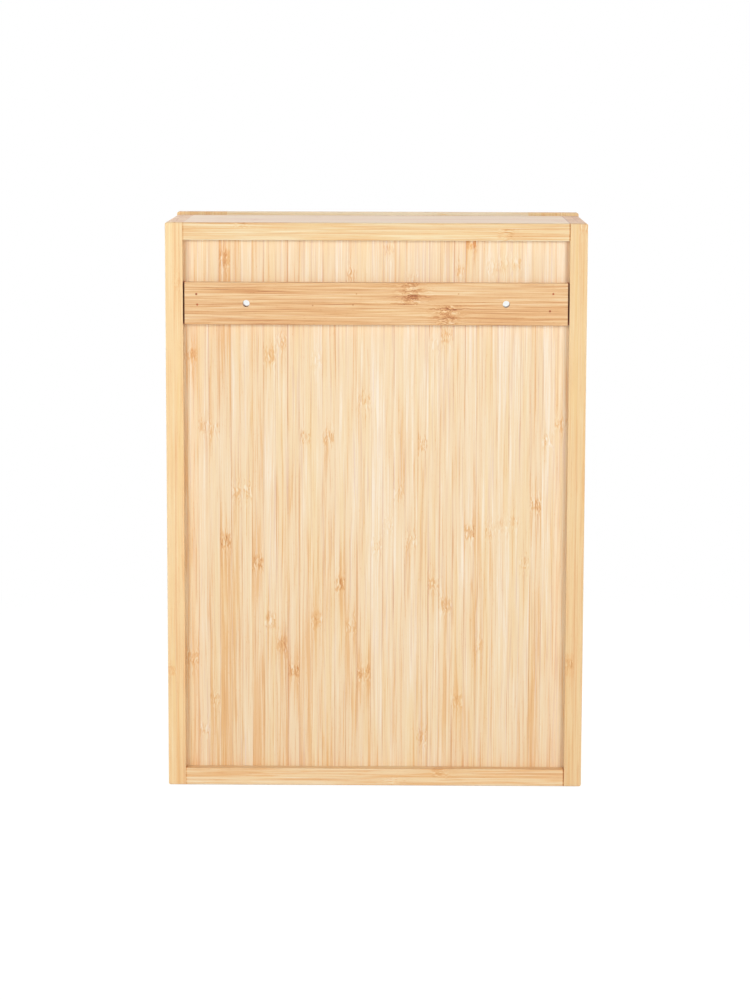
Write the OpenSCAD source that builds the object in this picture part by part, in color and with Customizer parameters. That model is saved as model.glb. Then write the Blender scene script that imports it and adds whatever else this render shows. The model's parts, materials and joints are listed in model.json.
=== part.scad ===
// Bamboo wall cabinet with one glazed door on butt hinges.
// Millimetres. X runs to the right as seen from the door, Y runs back to the wall, Z is up.
// The origin lies on the wall, halfway between the two hanging holes.

/* [Carcass] */
// Width over the two side boards
cabinet_w = 360; // [300:5:450]
// Height of the side boards
cabinet_h = 490; // [420:5:640]
// Depth from the wall to the front edges of the boards
carcass_d = 135; // [115:5:190]
// Thickness of the side, top and bottom boards
board_t = 15; // [13:0.5:18]
// Rounding of the four outer corners, seen from the front
corner_r = 2; // [1:0.5:4]
// Rounding of the long outer edges
edge_r = 1.25; // [0.5:0.25:2]
// Easing of the inner edges
inner_edge_r = 0.4; // [0.2:0.1:1]
// Diameter of the dowels in the carcass joints
dowel_d = 8; // [6:1:9]
// Depth of a dowel in the end of a top or bottom board
dowel_reach = 20; // [14:1:28]
// Distance of the dowels from the front edge and from the back panel
dowel_inset = 26; // [20:1:34]

/* [Back and hanging rail] */
// Depth of the recess between the wall and the back panel
back_recess = 10; // [8:0.5:15]
// Thickness of the back panel
panel_t = 5; // [4:0.5:7]
// Depth of the groove that holds the back panel
groove_d = 6; // [4:0.5:8]
// Height of the hanging rail
rail_h = 36; // [30:1:50]
// Distance from the cabinet's top down to the rail
rail_drop = 51; // [30:1:90]
// Gap between each end of the rail and the side board
rail_end_gap = 1.5; // [0.5:0.5:4]
// Diameter of the two hanging holes
hang_hole_d = 6; // [4:0.5:8]
// Distance between the two hanging holes
hang_spacing = 222; // [160:1:250]

/* [Shelves] */
// Thickness of a shelf
shelf_t = 10; // [8:1:14]
// Distance of a shelf's front edge behind the front of the boards
shelf_setback = 8; // [5:1:30]
// Gap at each end of a shelf
shelf_end_gap = 0.5; // [0.3:0.1:1.5]
// Diameter of a shelf pin
shelf_pin_d = 5; // [4:0.5:6]
// Depth of a shelf pin in the side board
shelf_pin_depth = 8; // [6:0.5:10]
// Length of a shelf pin under the shelf
shelf_pin_peg = 8; // [6:0.5:12]
// Distance of a shelf pin from the shelf's front or back edge
shelf_pin_inset = 18; // [12:1:30]

/* [Door] */
// Thickness of the door frame
door_t = 16; // [14:0.5:20]
// Width of the door's stiles
stile_w = 45; // [38:1:60]
// Width of the door's rails
door_rail_w = 45; // [42:1:60]
// Height of the door's edges above the carcass's underside and top
door_rise = 2.5; // [1:0.5:5]
// Rounding of the door's outer corners and front edges
door_edge_r = 2; // [1:0.5:3]
// Length of the tenons on the door's rails
tenon_l = 20; // [12:1:26]
// Thickness of the glass
glass_t = 4; // [3:0.5:5]
// Width of the rebate that the glass lies in
glass_lap = 8; // [7:0.5:10]
// Thickness of the frame in front of the glass
glass_lip = 6; // [5:0.5:7]
// Gap between the glass and the rebate on each side
glass_play = 0.8; // [0.5:0.1:0.9]

/* [Hinges] */
// Length of a hinge
hinge_l = 50; // [40:1:70]
// Distance from the ends of the door to the middle of a hinge
hinge_inset = 68; // [50:1:110]
// Thickness of a hinge leaf
leaf_t = 1.2; // [0.8:0.1:1.5]
// Gap between the two leaves of a closed hinge
leaf_gap = 0.4; // [0.3:0.1:0.8]
// Distance from the leaf's edge to the side board's inner face
leaf_margin = 1; // [0.5:0.5:3]
// Diameter of the hinge barrel
barrel_d = 5.6; // [5:0.1:7]
// Diameter of the hinge pin
hinge_pin_d = 3; // [2:0.25:3.25]
// Diameter of the screws in the hinges, the catch and the strike plate
screw_d = 3; // [2.5:0.25:3.5]
// Length of those screws
screw_l = 12; // [9:0.5:13]

/* [Knob] */
// Diameter of the knob
knob_d = 26; // [20:1:34]
// Distance that the knob stands out from the door
knob_reach = 24; // [20:1:32]
// Diameter of the knob's foot
knob_foot_d = 16; // [14:1:20]
// Diameter of the knob's neck
knob_neck_d = 11; // [9:0.5:13]
// Diameter of the knob's screw
knob_screw_d = 4; // [3:0.5:5]

/* [Catch] */
// Length of the catch between its ears
catch_w = 30; // [24:1:40]
// Height of the catch
catch_h = 13; // [11:0.5:14]
// Depth of the catch
catch_d = 15; // [13:0.5:22]
// Length of each ear
catch_ear = 9; // [8:0.5:14]
// Thickness of the strike plate
strike_t = 1.2; // [0.8:0.1:1.4]
// Distance from the side board to the catch
catch_offset = 18; // [10:1:60]

/* [Hidden] */
$fn = 48;
slip = 0.05;          // radial clearance of a pin, dowel, nail or screw in its hole
seat = 0.2;           // clearance between a loose piece and what it sits in
over = 1;             // how far a cut runs past the face it opens
panel_edge_gap = 0.5; // gap between the back panel's edge and the groove's floor

hinge_gap = 2 * leaf_t + leaf_gap;
front_y = -carcass_d;
door_back_y = front_y - hinge_gap;
door_front_y = door_back_y - door_t;
door_mid_y = door_back_y - door_t / 2;
half_w = cabinet_w / 2;
inner_w = cabinet_w - 2 * board_t;
inner_h = cabinet_h - 2 * board_t;

// Back panel, its groove and the hanging rail on it
panel_back_y = -back_recess;
panel_front_y = panel_back_y - panel_t;
rail_l = inner_w - 2 * rail_end_gap;
rail_z = cabinet_h - rail_drop - rail_h / 2;
nail_d = 1.2;
nail_head_d = 1.8;
nail_head_h = 0.6;
rail_nail_l = back_recess + panel_t - 1.5;
// Nails driven by hand, so none of the four is quite where its neighbour is
rail_nail_spots = [
    [rail_l / 2 - 10, 0.22 * rail_h],
    [rail_l / 2 - 10.8, -0.03 * rail_h],
    [-rail_l / 2 + 12.5, 0.25 * rail_h],
    [-rail_l / 2 + 15.2, -0.16 * rail_h]
];

// Carcass dowels
dowel_side_depth = board_t - 5;
dowel_ys = [front_y + dowel_inset, panel_front_y - dowel_inset];
dowel_zs = [board_t / 2, cabinet_h - board_t / 2];
dowel_tip = 0.8;

// Shelves and the pins under them
bay_h = (inner_h - 2 * shelf_t) / 3;
shelf_front_y = front_y + shelf_setback;
shelf_back_y = panel_front_y - panel_edge_gap;
shelf_zs = [board_t + bay_h, board_t + 2 * bay_h + shelf_t];
shelf_pin_ys = [shelf_front_y + shelf_pin_inset, shelf_back_y - shelf_pin_inset];
shelf_pin_tip = 0.6;

// Door
door_z0 = door_rise;
door_z1 = door_rise + cabinet_h;
door_mid_z = (door_z0 + door_z1) / 2;
window_w = cabinet_w - 2 * stile_w;
window_h = cabinet_h - 2 * door_rail_w;
tenon_t = door_t / 3;
tenon_shoulder = 6;
tenon_h = door_rail_w - glass_lap - tenon_shoulder - 4;
glass_y = door_front_y + glass_lip;
bead_y = glass_y + glass_t;
bead_t = door_back_y - bead_y;
bead_round = bead_t / 3;
mitre_gap = 0.1;
bead_nail_l = 14;
bead_nails_long = [for (k = [-1, -1/3, 1/3, 1]) k * (window_h / 2 - 50)];
bead_nails_short = [for (k = [-1, 1]) k * (window_w / 2 - 45)];

// Hinges
barrel_clear = 0.5;   // gap between the barrel and the faces of the side board and the stile
barrel_x = -half_w - barrel_d / 2 - barrel_clear;
barrel_y = front_y - hinge_gap / 2;
hinge_zs = [door_z0 + hinge_inset, door_z1 - hinge_inset];
leaf_w = board_t - leaf_margin;
leaf_corner_r = 2;
knuckles = 5;
knuckle_gap = 0.3;
knuckle_l = (hinge_l - (knuckles - 1) * knuckle_gap) / knuckles;
leaf_screw_x = -half_w + leaf_w / 2;
leaf_screw_zs = [8 - hinge_l / 2, hinge_l / 2 - 8];
hinge_pin_head_h = 1;
hinge_pin_head_d = (hinge_pin_d + barrel_d) / 2;
screw_sink = min(leaf_t, strike_t) - 0.2;
screw_head_d = screw_d + 2 * screw_sink;
screw_point = 2;

// Knob and its screw
knob_x = half_w - stile_w / 2;
knob_bore = knob_reach - 8;
knob_foot_h = 2.5;
knob_head_h = 9;
knob_edge_r = 2;
knob_dome_r = 1.6 * knob_d;
washer_t = 0.8;
washer_d = 2.25 * knob_screw_d;
knob_screw_head_d = 2 * knob_screw_d;
knob_screw_head_h = 0.65 * knob_screw_d;
counterbore_d = washer_d + 2 * seat;
counterbore_h = washer_t + knob_screw_head_h + seat;

// Catch, strike plate and bumpers
catch_x = inner_w / 2 - catch_offset - catch_ear - catch_w / 2;
catch_z = cabinet_h - board_t - catch_h / 2;
catch_inset = 0.5;
catch_front_y = front_y + catch_inset;
catch_wall = 2;
catch_play = 0.3;
ear_t = 3;
pole_t = 1.4;
pole_w = catch_w - 2 * catch_wall - 2 * seat;
pole_h = catch_h - 2 * catch_wall - 2 * seat;
magnet_h = pole_h - 2 * pole_t;
pole_front = -catch_inset - (hinge_gap - strike_t - catch_play);
pole_back = catch_d - catch_wall - seat;
strike_w = catch_w + 2;
strike_h = catch_h - 1;
bumper_d = 8;
bumper_t = hinge_gap - 0.3;
bumper_inset = 30;

bamboo = [0.95, 0.82, 0.62];
caramel = [0.92, 0.74, 0.52];
nickel = [0.75, 0.74, 0.72];
dark = [0.25, 0.25, 0.26];

// Helpers

// The nodes are drawn with the underside of the cabinet at height 0 and then moved, so that
// the hanging holes are at height 0
module hung() {
    translate([0, 0, -rail_z]) children();
}

// A cylinder along Y that starts at y and runs towards the wall
module rod_y(x, y, z, d, l) {
    translate([x, y, z]) rotate([-90, 0, 0]) cylinder(d = d, h = l);
}

// A cylinder along X that starts at x and runs to the right
module rod_x(x, y, z, d, l) {
    translate([x, y, z]) rotate([0, 90, 0]) cylinder(d = d, h = l);
}

// A cylinder from z0 up to z0 + l, both ends bevelled by tip
module bevelled_rod(d, l, tip) {
    cylinder(d1 = d - 2 * tip, d2 = d, h = tip);
    translate([0, 0, tip]) cylinder(d = d, h = l - 2 * tip);
    translate([0, 0, l - tip]) cylinder(d1 = d, d2 = d - 2 * tip, h = tip);
}

// What rounding takes off one corner that lies at the origin
module corner_waste(r) {
    difference() {
        translate([-over, -over]) square(r + over);
        translate([r, r]) circle(r);
    }
}

// A rectangle from the origin whose corners have the radii r, counterclockwise
module eased_rect(size, r) {
    difference() {
        square(size);
        if (r[0] > 0) corner_waste(r[0]);
        if (r[1] > 0) translate([size[0], 0]) mirror([1, 0]) corner_waste(r[1]);
        if (r[2] > 0) translate(size) mirror([1, 0]) mirror([0, 1]) corner_waste(r[2]);
        if (r[3] > 0) translate([0, size[1]]) mirror([0, 1]) corner_waste(r[3]);
    }
}

// Carries a profile drawn in X and Z along Y
module along_y(y0, y1) {
    translate([0, y1, 0]) rotate([90, 0, 0]) linear_extrude(y1 - y0) children();
}

// Carries a profile drawn in Y and Z along X
module along_x(x0, x1) {
    translate([x0, 0, 0]) rotate([90, 0, 90]) linear_extrude(x1 - x0) children();
}

// The cross in a screw head, cut from the origin along +Z
module cross_recess(span, depth) {
    for (a = [0, 90])
        rotate(a) translate([-span / 2, -span / 10, -over]) cube([span, span / 5, depth + over]);
}

// A countersunk wood screw, its head's flat face at the origin, pointing along +Z
module wood_screw() {
    difference() {
        union() {
            cylinder(d1 = screw_head_d, d2 = screw_d, h = screw_sink);
            translate([0, 0, screw_sink]) cylinder(d = screw_d, h = screw_l - screw_sink - screw_point);
            translate([0, 0, screw_l - screw_point]) cylinder(d1 = screw_d, d2 = 0.6, h = screw_point);
        }
        cross_recess(screw_head_d * 0.55, screw_sink * 0.7);
    }
}

module screw_hole() {
    translate([0, 0, -over]) cylinder(d = screw_d + 2 * slip, h = screw_l + over + seat);
}

module countersunk_hole() {
    screw_hole();
    cylinder(d1 = screw_head_d + 2 * slip, d2 = screw_d + 2 * slip, h = screw_sink);
    translate([0, 0, -over]) cylinder(d = screw_head_d + 2 * slip, h = over);
}

// Carcass

module side_blank() {
    intersection() {
        along_y(front_y, 0)
            translate([half_w - board_t, 0])
                eased_rect([board_t, cabinet_h], [0, corner_r, corner_r, 0]);
        translate([half_w - board_t, front_y, 0])
            linear_extrude(cabinet_h)
                eased_rect([board_t, carcass_d], [inner_edge_r, edge_r, edge_r, inner_edge_r]);
        along_x(half_w - board_t, half_w)
            translate([front_y, 0])
                eased_rect([carcass_d, cabinet_h], [edge_r, edge_r, edge_r, edge_r]);
    }
}

// The side board on the knob side, with its groove, dowel holes and shelf pin holes
module side_board() {
    x = half_w - board_t;
    difference() {
        side_blank();
        translate([x - over, panel_front_y - seat / 2, board_t - groove_d])
            cube([groove_d + over, panel_t + seat, inner_h + 2 * groove_d]);
        for (y = dowel_ys, z = dowel_zs)
            rod_x(x - over, y, z, dowel_d + 2 * slip, dowel_side_depth + over + seat);
        for (y = shelf_pin_ys, z = shelf_zs)
            rod_x(x - over, y, z - shelf_pin_d / 2, shelf_pin_d + 2 * slip,
                shelf_pin_depth + over + seat);
    }
}

module side_board_right() {
    color(bamboo) hung() side_board();
}

module side_board_left() {
    color(bamboo) hung() difference() {
        mirror([1, 0, 0]) side_board();
        carcass_leaf_screw_places() screw_hole();
    }
}

// The bottom board, which turned over is also the top board
module level_board() {
    difference() {
        along_x(-inner_w / 2, inner_w / 2)
            translate([front_y, 0])
                eased_rect([carcass_d, board_t], [edge_r, edge_r, inner_edge_r, inner_edge_r]);
        translate([-inner_w / 2 - over, panel_front_y - seat / 2, board_t - groove_d])
            cube([inner_w + 2 * over, panel_t + seat, groove_d + over]);
        for (side = [0, 1], y = dowel_ys)
            mirror([side, 0, 0])
                rod_x(inner_w / 2 - dowel_reach - seat, y, board_t / 2, dowel_d + 2 * slip,
                    dowel_reach + seat + over);
    }
}

module bottom_board() {
    color(bamboo) hung() level_board();
}

module top_board() {
    color(bamboo) hung() difference() {
        translate([0, 0, cabinet_h]) mirror([0, 0, 1]) level_board();
        catch_screw_places() screw_hole();
    }
}

module carcass_dowels() {
    color(bamboo) hung()
        for (side = [0, 1], y = dowel_ys, z = dowel_zs)
            mirror([side, 0, 0])
                translate([inner_w / 2 - dowel_reach, y, z]) rotate([0, 90, 0])
                    bevelled_rod(dowel_d, dowel_reach + dowel_side_depth, dowel_tip);
}

// Back panel and hanging rail

module hang_holes() {
    for (s = [-1, 1])
        rod_y(s * hang_spacing / 2, panel_front_y - over, rail_z, hang_hole_d,
            panel_t + back_recess + 2 * over);
}

module rail_nail_holes() {
    for (p = rail_nail_spots) {
        rod_y(p[0], -rail_nail_l - seat, rail_z + p[1], nail_d + 2 * slip, rail_nail_l + seat + over);
        rod_y(p[0], -nail_head_h - seat, rail_z + p[1], nail_head_d + 2 * slip, nail_head_h + seat + over);
    }
}

module back_panel() {
    edge = groove_d - panel_edge_gap;
    color(bamboo) hung() difference() {
        translate([-inner_w / 2 - edge, panel_front_y, board_t - edge])
            cube([inner_w + 2 * edge, panel_t, inner_h + 2 * edge]);
        hang_holes();
        rail_nail_holes();
    }
}

module hanging_rail() {
    color(caramel) hung() difference() {
        along_x(-rail_l / 2, rail_l / 2)
            translate([panel_back_y, rail_z - rail_h / 2])
                eased_rect([back_recess, rail_h], [0, inner_edge_r, inner_edge_r, 0]);
        hang_holes();
        rail_nail_holes();
    }
}

module rail_nails() {
    color(nickel) hung()
        for (p = rail_nail_spots) {
            rod_y(p[0], -rail_nail_l, rail_z + p[1], nail_d, rail_nail_l - nail_head_h);
            rod_y(p[0], -nail_head_h - seat, rail_z + p[1], nail_head_d, nail_head_h);
        }
}

// Shelves

module shelf(z) {
    x = inner_w / 2 - shelf_end_gap;
    r = inner_edge_r;
    along_x(-x, x)
        translate([shelf_front_y, z])
            eased_rect([shelf_back_y - shelf_front_y, shelf_t], [edge_r, r, r, edge_r]);
}

module shelf_lower() {
    color(bamboo) hung() shelf(shelf_zs[0]);
}

module shelf_upper() {
    color(bamboo) hung() shelf(shelf_zs[1]);
}

module shelf_pins() {
    color(nickel) hung()
        for (side = [0, 1], y = shelf_pin_ys, z = shelf_zs)
            mirror([side, 0, 0])
                translate([inner_w / 2 - shelf_pin_peg, y, z - shelf_pin_d / 2])
                    rotate([0, 90, 0])
                        bevelled_rod(shelf_pin_d, shelf_pin_peg + shelf_pin_depth, shelf_pin_tip);
}

// Door frame

// The rebate for the glass, from the lip through to the door's back
module glass_rebate() {
    translate([-window_w / 2 - glass_lap, glass_y, door_mid_z - window_h / 2 - glass_lap])
        cube([window_w + 2 * glass_lap, door_t, window_h + 2 * glass_lap]);
}

// The tenons at the right end of the two rails, or with a clearance their mortises
module tenons(clear) {
    for (up = [0, 1])
        translate([0, 0, up * 2 * door_mid_z]) mirror([0, 0, up])
            translate([
                window_w / 2 - over,
                door_mid_y - tenon_t / 2 - clear,
                door_z0 + tenon_shoulder - clear
            ])
                cube([tenon_l + over + 2 * clear, tenon_t + 2 * clear, tenon_h + 2 * clear]);
}

module stile_blank() {
    intersection() {
        along_y(door_front_y, door_back_y)
            translate([half_w - stile_w, door_z0])
                eased_rect([stile_w, cabinet_h], [0, door_edge_r, door_edge_r, 0]);
        translate([half_w - stile_w, door_front_y, door_z0])
            linear_extrude(cabinet_h)
                eased_rect([stile_w, door_t], [inner_edge_r, door_edge_r, inner_edge_r, 0]);
        along_x(half_w - stile_w, half_w)
            translate([door_front_y, door_z0])
                eased_rect([door_t, cabinet_h],
                    [door_edge_r, inner_edge_r, inner_edge_r, door_edge_r]);
    }
}

// The stile on the knob side, before the hole for the knob
module stile() {
    difference() {
        stile_blank();
        glass_rebate();
        tenons(seat / 2);
        at_right() bead_nail_holes(bead_nails_long, window_w / 2);
    }
}

module door_stile_knob_side() {
    color(bamboo) hung() difference() {
        stile();
        rod_y(knob_x, door_front_y - over, door_mid_z, knob_screw_d + 2 * seat, door_t + 2 * over);
        rod_y(knob_x, door_back_y - counterbore_h, door_mid_z, counterbore_d, counterbore_h + over);
    }
}

module door_stile_hinge_side() {
    color(bamboo) hung() difference() {
        mirror([1, 0, 0]) stile();
        door_leaf_screw_places() screw_hole();
    }
}

// The lower rail of the door, which turned over is also the upper one
module door_rail() {
    difference() {
        union() {
            along_x(-window_w / 2, window_w / 2)
                translate([door_front_y, door_z0])
                    eased_rect([door_t, door_rail_w], [door_edge_r, inner_edge_r, 0, inner_edge_r]);
            intersection() {
                union() {
                    tenons(0);
                    mirror([1, 0, 0]) tenons(0);
                }
                translate([-half_w, door_front_y, door_z0]) cube([cabinet_w, door_t, door_rail_w]);
            }
        }
        glass_rebate();
        at_bottom() bead_nail_holes(bead_nails_short, window_h / 2);
    }
}

module door_rail_bottom() {
    color(bamboo) hung() door_rail();
}

module door_rail_top() {
    color(bamboo) hung() difference() {
        translate([0, 0, 2 * door_mid_z]) mirror([0, 0, 1]) door_rail();
        strike_screw_place() screw_hole();
    }
}

module glass_pane() {
    w = window_w + 2 * (glass_lap - glass_play);
    h = window_h + 2 * (glass_lap - glass_play);
    color([0.80, 0.92, 0.90, 0.35]) hung()
        translate([-w / 2, glass_y, door_mid_z - h / 2]) cube([w, glass_t, h]);
}

// Glazing beads, mitred at the corners and nailed into the rebate

// Puts what is drawn below the window's middle at one of its four sides
module at_bottom() {
    translate([0, 0, door_mid_z]) children();
}

module at_top() {
    translate([0, 0, door_mid_z]) rotate([0, 180, 0]) children();
}

module at_left() {
    translate([0, 0, door_mid_z]) rotate([0, 90, 0]) children();
}

module at_right() {
    translate([0, 0, door_mid_z]) rotate([0, -90, 0]) children();
}

// A bead that lies a below the window's middle and closes a side that reaches b either way
module bead(a, b, nails) {
    outer = glass_lap - seat;
    inner = seat;
    m = mitre_gap / 2;
    difference() {
        intersection() {
            along_y(bead_y, door_back_y)
                polygon([
                    [-b - outer + m, -a - outer], [b + outer - m, -a - outer],
                    [b + inner - m, -a - inner], [-b - inner + m, -a - inner]
                ]);
            along_x(-b - outer, b + outer)
                translate([bead_y, -a - outer])
                    eased_rect([bead_t, outer - inner], [0, 0, bead_round, 0]);
        }
        bead_nail_holes(nails, a);
    }
}

// Nails driven outwards from the bead's edge into the frame
module bead_nail_places(spots, a) {
    for (x = spots)
        translate([x, bead_y + bead_t / 2, -a - 2 * seat]) rotate([180, 0, 0]) children();
}

module bead_nail_group(spots, a) {
    bead_nail_places(spots, a) {
        cylinder(d = nail_head_d, h = nail_head_h);
        translate([0, 0, nail_head_h]) cylinder(d = nail_d, h = bead_nail_l - nail_head_h);
    }
}

module bead_nail_holes(spots, a) {
    bead_nail_places(spots, a) {
        translate([0, 0, -over]) cylinder(d = nail_head_d + 2 * slip, h = nail_head_h + over);
        cylinder(d = nail_d + 2 * slip, h = bead_nail_l + seat);
    }
}

module glazing_bead_bottom() {
    color(bamboo) hung() at_bottom() bead(window_h / 2, window_w / 2, bead_nails_short);
}

module glazing_bead_top() {
    color(bamboo) hung() at_top() bead(window_h / 2, window_w / 2, bead_nails_short);
}

module glazing_bead_left() {
    color(bamboo) hung() at_left() bead(window_w / 2, window_h / 2, bead_nails_long);
}

module glazing_bead_right() {
    color(bamboo) hung() at_right() bead(window_w / 2, window_h / 2, bead_nails_long);
}

module bead_nails() {
    color(nickel) hung() {
        at_bottom() bead_nail_group(bead_nails_short, window_h / 2);
        at_top() bead_nail_group(bead_nails_short, window_h / 2);
        at_left() bead_nail_group(bead_nails_long, window_w / 2);
        at_right() bead_nail_group(bead_nails_long, window_w / 2);
    }
}

// Hinges

module carcass_leaf_screw_places() {
    for (h = hinge_zs, z = leaf_screw_zs)
        translate([leaf_screw_x, front_y - leaf_t, h + z]) rotate([-90, 0, 0]) children();
}

module door_leaf_screw_places() {
    for (h = hinge_zs, z = leaf_screw_zs)
        translate([leaf_screw_x, door_back_y + leaf_t, h + z]) rotate([90, 0, 0]) children();
}

function knuckle_z(i) = i * (knuckle_l + knuckle_gap) - hinge_l / 2;

// A leaf on the front of the side board, with the knuckles whose numbers are in own. The
// knuckles of the other leaf turn in the gaps.
module leaf(own, others) {
    r = leaf_corner_r;
    difference() {
        union() {
            along_y(front_y - leaf_t, front_y)
                translate([barrel_x, -hinge_l / 2])
                    eased_rect([-half_w + leaf_w - barrel_x, hinge_l], [0, r, r, 0]);
            for (i = own)
                translate([barrel_x, barrel_y, knuckle_z(i)]) cylinder(d = barrel_d, h = knuckle_l);
        }
        for (i = others)
            translate([barrel_x, barrel_y, knuckle_z(i) - knuckle_gap])
                cylinder(r = barrel_d / 2 + knuckle_gap, h = knuckle_l + 2 * knuckle_gap);
        translate([barrel_x, barrel_y, -hinge_l / 2 - over])
            cylinder(d = hinge_pin_d + 2 * slip, h = hinge_l + 2 * over);
    }
}

module carcass_leaf(h) {
    difference() {
        translate([0, 0, h]) leaf([0, 2, 4], [1, 3]);
        carcass_leaf_screw_places() countersunk_hole();
    }
}

module door_leaf(h) {
    difference() {
        translate([0, 2 * barrel_y, h]) mirror([0, 1, 0]) leaf([1, 3], [0, 2, 4]);
        door_leaf_screw_places() countersunk_hole();
    }
}

module hinge_pin(h) {
    translate([barrel_x, barrel_y, h - hinge_l / 2]) {
        cylinder(d = hinge_pin_d, h = hinge_l);
        translate([0, 0, hinge_l]) cylinder(d = hinge_pin_head_d, h = hinge_pin_head_h * 0.6);
        translate([0, 0, hinge_l + hinge_pin_head_h * 0.6])
            cylinder(d1 = hinge_pin_head_d, d2 = hinge_pin_head_d - 1, h = hinge_pin_head_h * 0.4);
    }
}

module hinge_upper_carcass_leaf() {
    color(nickel) hung() carcass_leaf(hinge_zs[1]);
}

module hinge_lower_carcass_leaf() {
    color(nickel) hung() carcass_leaf(hinge_zs[0]);
}

module hinge_upper_door_leaf() {
    color(nickel) hung() door_leaf(hinge_zs[1]);
}

module hinge_lower_door_leaf() {
    color(nickel) hung() door_leaf(hinge_zs[0]);
}

module hinge_upper_pin() {
    color(nickel) hung() hinge_pin(hinge_zs[1]);
}

module hinge_lower_pin() {
    color(nickel) hung() hinge_pin(hinge_zs[0]);
}

module hinge_screws_carcass() {
    color(nickel) hung() carcass_leaf_screw_places() wood_screw();
}

module hinge_screws_door() {
    color(nickel) hung() door_leaf_screw_places() wood_screw();
}

// Knob

// Half of the knob's section. The foot is at the bottom and the axis is the left edge.
module knob_section() {
    neck_top = knob_reach - knob_head_h;
    difference() {
        union() {
            eased_rect([knob_foot_d / 2, knob_foot_h], [0, 0, 0.8, 0]);
            square([knob_neck_d / 2, neck_top]);
            polygon([
                [0, neck_top - 3], [knob_neck_d / 2, neck_top - 3],
                [knob_d / 2 - knob_edge_r, neck_top], [0, neck_top]
            ]);
            intersection() {
                translate([0, neck_top])
                    eased_rect([knob_d / 2, knob_head_h], [0, knob_edge_r, 0, 0]);
                translate([0, knob_reach - knob_dome_r]) circle(knob_dome_r, $fn = 160);
            }
        }
        translate([-over, -over]) square([knob_screw_d / 2 + slip + over, knob_bore + over]);
    }
}

module knob() {
    color(nickel) hung()
        translate([knob_x, door_front_y, door_mid_z]) rotate([90, 0, 0])
            rotate_extrude() knob_section();
}

module knob_screw() {
    head_y = door_back_y - counterbore_h + washer_t;
    l = head_y - door_front_y + knob_bore - 2;
    color(nickel) hung() difference() {
        union() {
            rod_y(knob_x, head_y - l, door_mid_z, knob_screw_d, l);
            rod_y(knob_x, head_y, door_mid_z, knob_screw_head_d, knob_screw_head_h);
        }
        translate([knob_x, head_y + knob_screw_head_h, door_mid_z]) rotate([90, 0, 0])
            cross_recess(knob_screw_head_d * 0.55, knob_screw_head_h * 0.6);
    }
}

module knob_washer() {
    y = door_back_y - counterbore_h;
    color(nickel) hung() difference() {
        rod_y(knob_x, y, door_mid_z, washer_d, washer_t);
        rod_y(knob_x, y - over, door_mid_z, knob_screw_d + 2 * slip, washer_t + 2 * over);
    }
}

// Magnetic catch

// Moves what is drawn around the middle of the catch's front face to its place
module at_catch() {
    translate([catch_x, catch_front_y, catch_z]) children();
}

module catch_screw_places() {
    for (s = [-1, 1])
        at_catch()
            translate([s * (catch_w + catch_ear) / 2, catch_d / 2, catch_h / 2 - ear_t]) children();
}

module catch_housing() {
    cavity_w = catch_w - 2 * catch_wall;
    cavity_h = catch_h - 2 * catch_wall;
    ears_w = catch_w + 2 * catch_ear;
    color(dark) hung() difference() {
        at_catch() {
            along_x(-catch_w / 2, catch_w / 2)
                translate([0, -catch_h / 2]) eased_rect([catch_d, catch_h], [1, 1, 0, 0]);
            translate([-ears_w / 2, 0, catch_h / 2 - ear_t])
                linear_extrude(ear_t) eased_rect([ears_w, catch_d], [3, 3, 3, 3]);
        }
        at_catch()
            translate([-cavity_w / 2, -over, -cavity_h / 2])
                cube([cavity_w, catch_d - catch_wall + over, cavity_h]);
        catch_screw_places() countersunk_hole();
    }
}

module catch_magnet() {
    color(dark) hung() at_catch()
        translate([-pole_w / 2, 1, -magnet_h / 2]) cube([pole_w, pole_back - 1, magnet_h]);
}

module catch_pole_plates() {
    color(nickel) hung() at_catch()
        for (z = [-pole_h / 2, pole_h / 2 - pole_t])
            translate([-pole_w / 2, pole_front, z]) cube([pole_w, pole_back - pole_front, pole_t]);
}

module catch_screws() {
    color(nickel) hung() catch_screw_places() wood_screw();
}

module strike_screw_place() {
    translate([catch_x, door_back_y + strike_t, catch_z]) rotate([90, 0, 0]) children();
}

module strike_plate() {
    color(nickel) hung() difference() {
        along_y(door_back_y, door_back_y + strike_t)
            translate([catch_x - strike_w / 2, catch_z - strike_h / 2])
                eased_rect([strike_w, strike_h], [2, 2, 2, 2]);
        strike_screw_place() countersunk_hole();
    }
}

module strike_screw() {
    color(nickel) hung() strike_screw_place() wood_screw();
}

// Soft pads on the door, opposite the front edge of the side board
module door_bumpers() {
    color(dark) hung()
        for (z = [door_z0 + bumper_inset, door_z1 - bumper_inset])
            translate([half_w - board_t / 2, door_back_y, z]) rotate([-90, 0, 0]) {
                cylinder(d = bumper_d, h = bumper_t * 0.7);
                translate([0, 0, bumper_t * 0.7])
                    cylinder(d1 = bumper_d, d2 = bumper_d - 2, h = bumper_t * 0.3);
            }
}

side_board_left();
side_board_right();
top_board();
bottom_board();
carcass_dowels();
back_panel();
hanging_rail();
rail_nails();
shelf_lower();
shelf_upper();
shelf_pins();
door_stile_hinge_side();
door_stile_knob_side();
door_rail_top();
door_rail_bottom();
glass_pane();
glazing_bead_top();
glazing_bead_bottom();
glazing_bead_left();
glazing_bead_right();
bead_nails();
hinge_upper_carcass_leaf();
hinge_upper_door_leaf();
hinge_upper_pin();
hinge_lower_carcass_leaf();
hinge_lower_door_leaf();
hinge_lower_pin();
hinge_screws_carcass();
hinge_screws_door();
knob();
knob_screw();
knob_washer();
catch_housing();
catch_magnet();
catch_pole_plates();
catch_screws();
strike_plate();
strike_screw();
door_bumpers();
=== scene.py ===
import json
import math

import bmesh
import bpy
from mathutils import Matrix, Vector

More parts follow.
